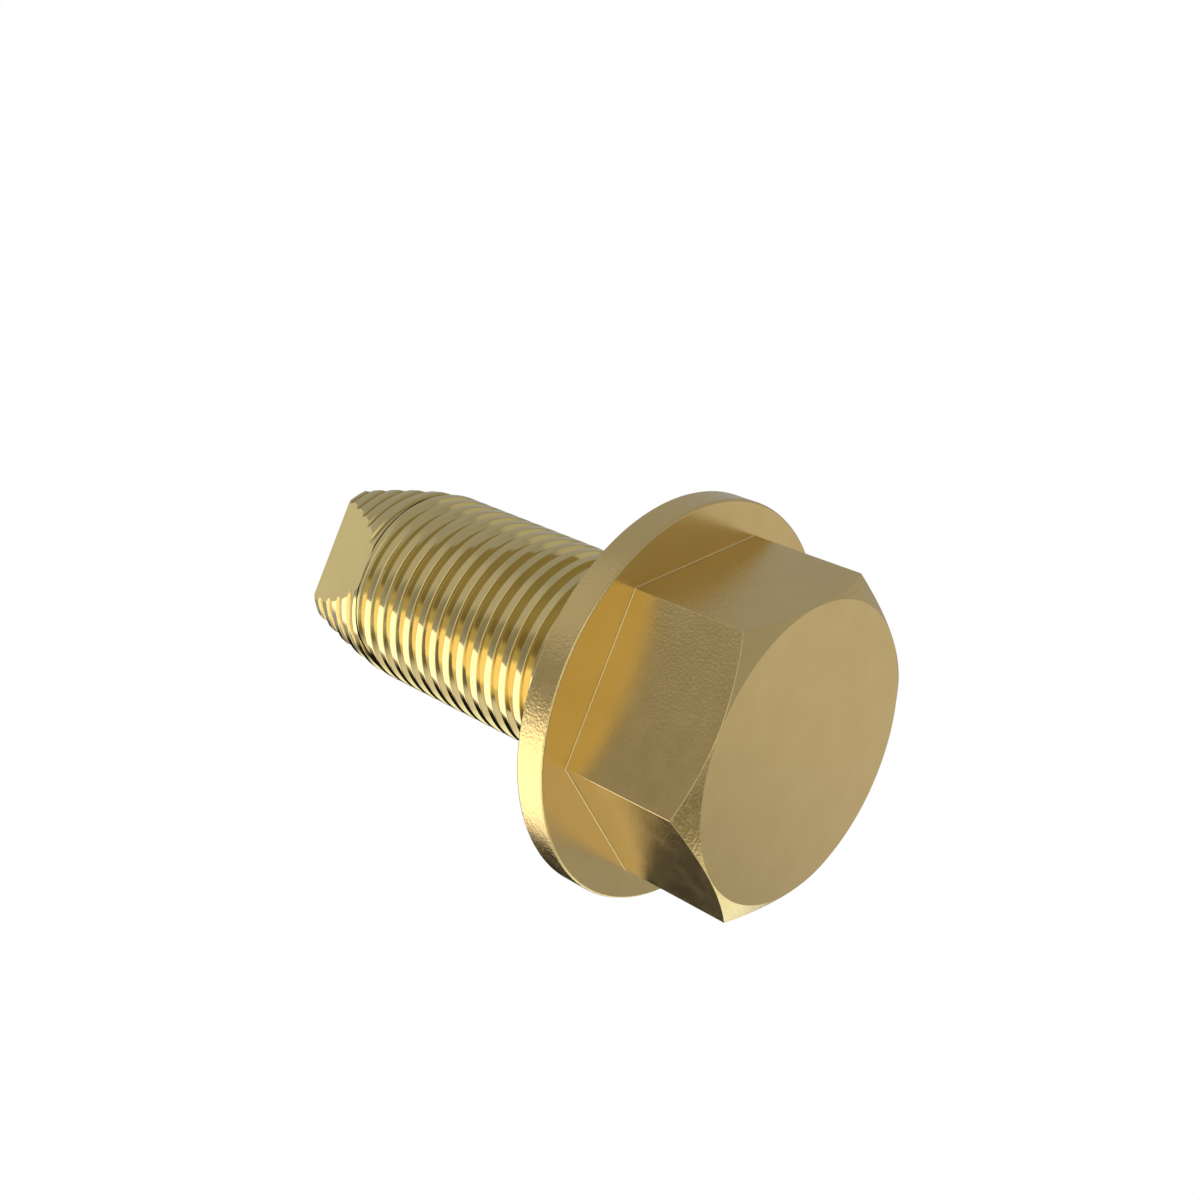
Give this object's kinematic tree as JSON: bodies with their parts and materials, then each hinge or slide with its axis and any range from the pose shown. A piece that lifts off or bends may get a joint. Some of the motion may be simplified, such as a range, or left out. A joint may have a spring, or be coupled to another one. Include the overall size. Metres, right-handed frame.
{
  "type": "hex flange self-tapping screw",
  "caption": "Brass-coloured hex flange self-tapping screw: chamfered hex head, flat round flange, fine thread up to the flange, tapered lead with four slanted cutting flats.",
  "frame": {"origin": "centre of the flat top of the hex head, which the screw stands on", "axes": "+Z along the screw's axis from the head to the tip; +X through a corner of the hexagon; one of the four cutting flats faces -Y"},
  "size_m": [0.019, 0.019, 0.0281],
  "materials": {
    "brass": "bare yellow metal: satin on the head and flange, brighter on the thread"
  },
  "bodies": {
    "root": {"screw": "brass"}
  },
  "joints": []
}
